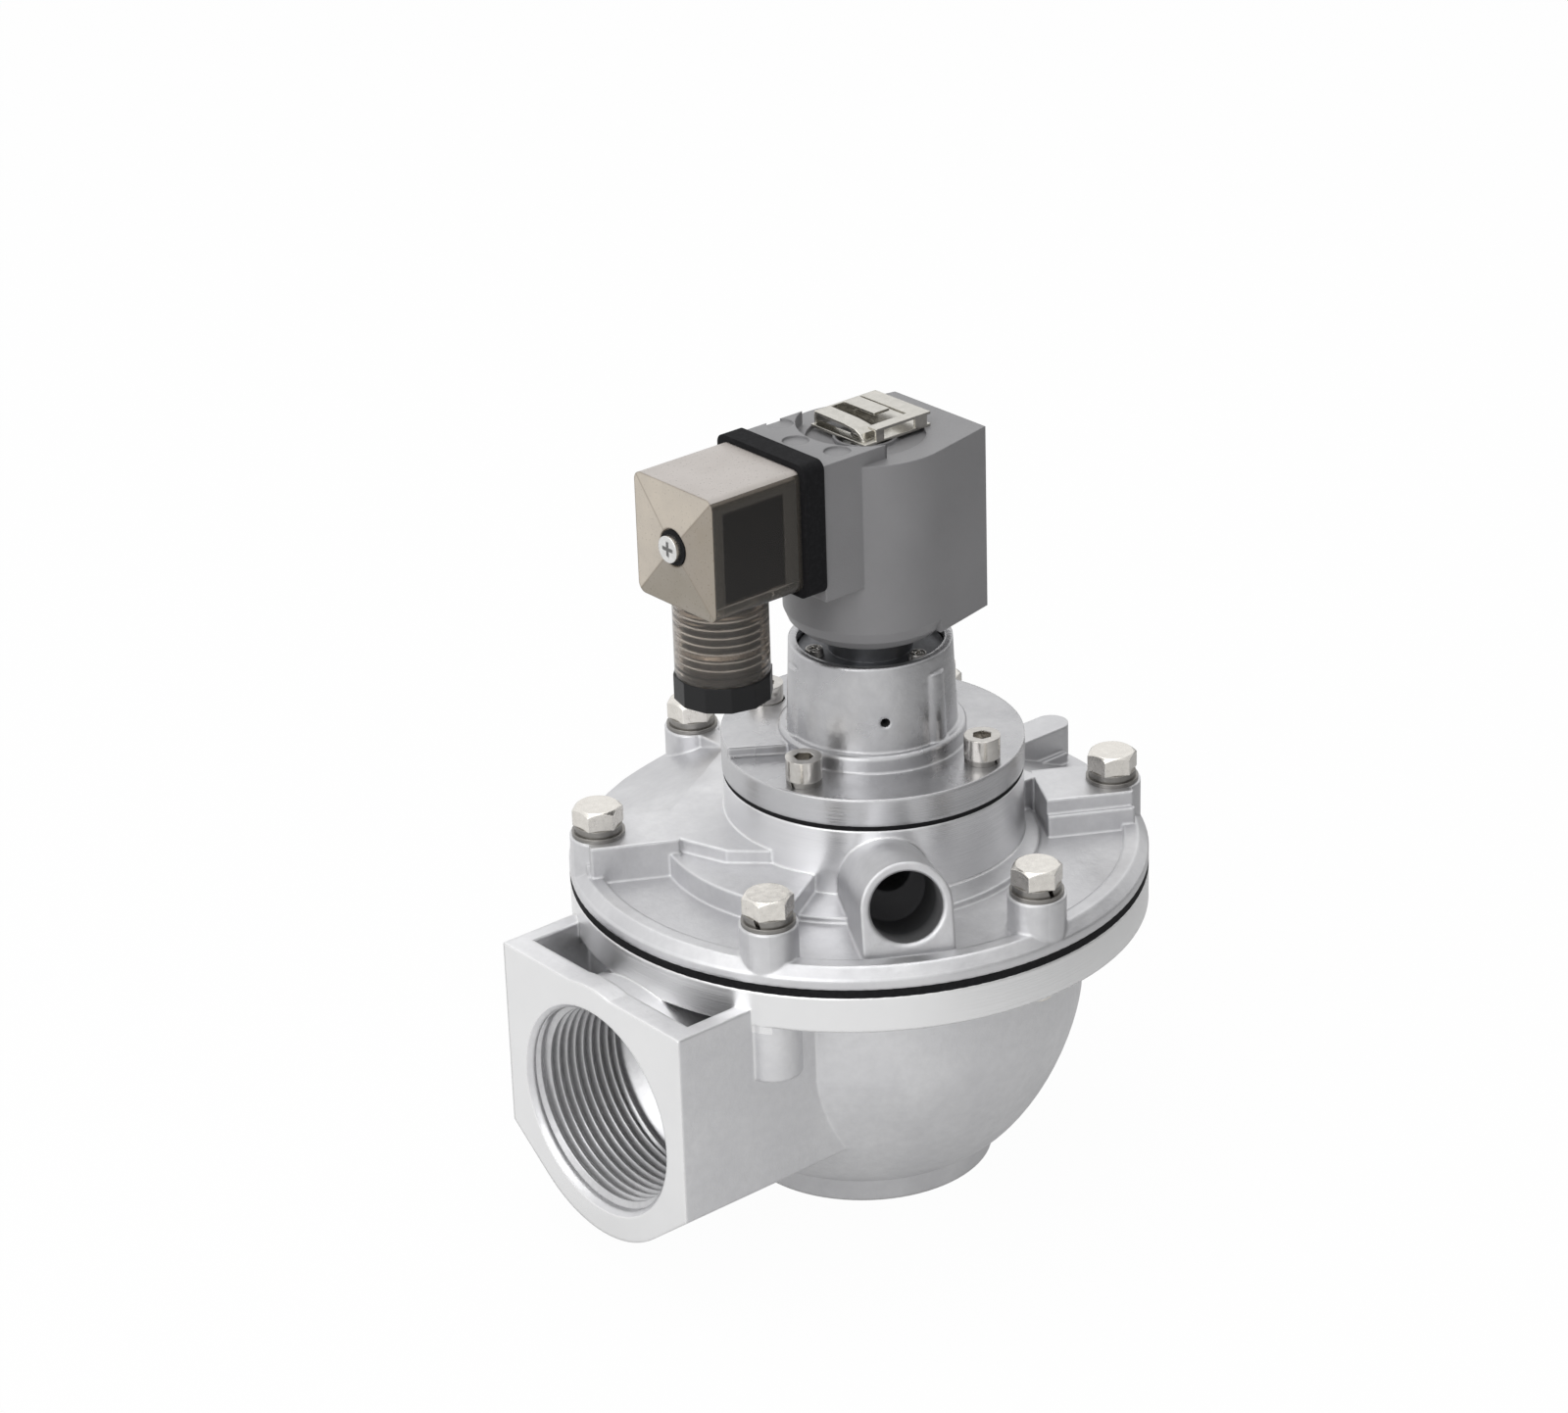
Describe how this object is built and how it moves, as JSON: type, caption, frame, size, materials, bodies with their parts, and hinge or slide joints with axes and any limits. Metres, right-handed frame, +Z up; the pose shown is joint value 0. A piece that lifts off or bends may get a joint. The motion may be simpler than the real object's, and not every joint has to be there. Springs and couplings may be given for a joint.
{
  "type": "right-angle pulse valve",
  "caption": "Right-angle diaphragm pulse valve with threaded ports, a solenoid pilot and a plug connector.",
  "frame": {"origin": "centre of the outlet face, on the outlet axis", "axes": "+Z up along the outlet axis towards the coil, the inlet faces -X, +Y completes the right-handed frame"},
  "size_m": [0.1439, 0.1314, 0.1792],
  "materials": {
    "cast_body": "die cast, satin",
    "cast_cover": "die cast, satin",
    "cast_pilot": "die cast, satin",
    "steel": "brushed",
    "bolt_steel": "plated",
    "washer_steel": "dark plated",
    "clip_steel": "plated",
    "dark_plate": "dark plated",
    "diaphragm_rubber": "matt",
    "black_rubber": "matt",
    "coil_plastic": "moulded resin, satin",
    "black_plastic": "satin",
    "smoky_plastic": "translucent, smoky brown"
  },
  "bodies": {
    "valve": {"valve_body": "cast_body", "main_diaphragm_rim": "diaphragm_rubber", "cover": "cast_cover", "cover_bolts": "bolt_steel", "cover_spring_washers": "washer_steel", "cover_flat_washers": "bolt_steel", "pilot_diaphragm_rim": "diaphragm_rubber", "pilot_housing": "cast_pilot", "pilot_screws": "bolt_steel", "pilot_spring_washers": "washer_steel", "tube_plate": "dark_plate", "tube_plate_screws": "steel", "armature_tube": "steel", "tube_oring": "black_rubber", "fixed_core": "steel"},
    "main_diaphragm": {"main_diaphragm_web": "diaphragm_rubber", "main_seal_pad": "diaphragm_rubber", "main_support_plate": "steel", "main_clamp_screw": "steel", "main_clamp_nut": "steel", "main_spring": "steel"},
    "pilot_diaphragm": {"pilot_diaphragm_web": "diaphragm_rubber", "pilot_seal_pad": "diaphragm_rubber", "pilot_support_plate": "steel", "pilot_rivet": "steel", "pilot_spring": "steel"},
    "armature": {"armature": "steel", "armature_seal": "black_rubber", "armature_spring": "steel"},
    "coil": {"coil_body": "coil_plastic", "coil_blades": "steel", "plug_gasket": "black_rubber", "contact_insert": "black_plastic", "terminal_screws": "steel", "plug_hood": "smoky_plastic", "plug_screw": "steel", "plug_screw_seal": "black_rubber", "gland_nut": "black_plastic", "gland_washer": "steel", "gland_seal": "black_rubber", "retaining_clip": "clip_steel"}
  },
  "joints": [
    {"name": "main_diaphragm_lift", "type": "slide", "parent": "valve", "child": "main_diaphragm", "axis": [0, 0, 1], "range_m": [0, 0.0075], "stiffness_N_per_m": 1500, "springref_m": -0.008, "deforming": ["main_diaphragm_web", "main_spring"]},
    {"name": "pilot_diaphragm_lift", "type": "slide", "parent": "valve", "child": "pilot_diaphragm", "axis": [0, 0, 1], "range_m": [0, 0.003], "stiffness_N_per_m": 900, "springref_m": -0.004, "deforming": ["pilot_diaphragm_web", "pilot_spring"]},
    {"name": "armature_stroke", "type": "slide", "parent": "valve", "child": "armature", "axis": [0, 0, 1], "range_m": [0, 0.002], "stiffness_N_per_m": 500, "springref_m": -0.004, "deforming": ["armature_spring"]},
    {"name": "coil_turn", "type": "hinge", "parent": "valve", "child": "coil", "pos_m": [0.005, 0, 0.13], "axis": [0, 0, 1], "continuous": true}
  ]
}
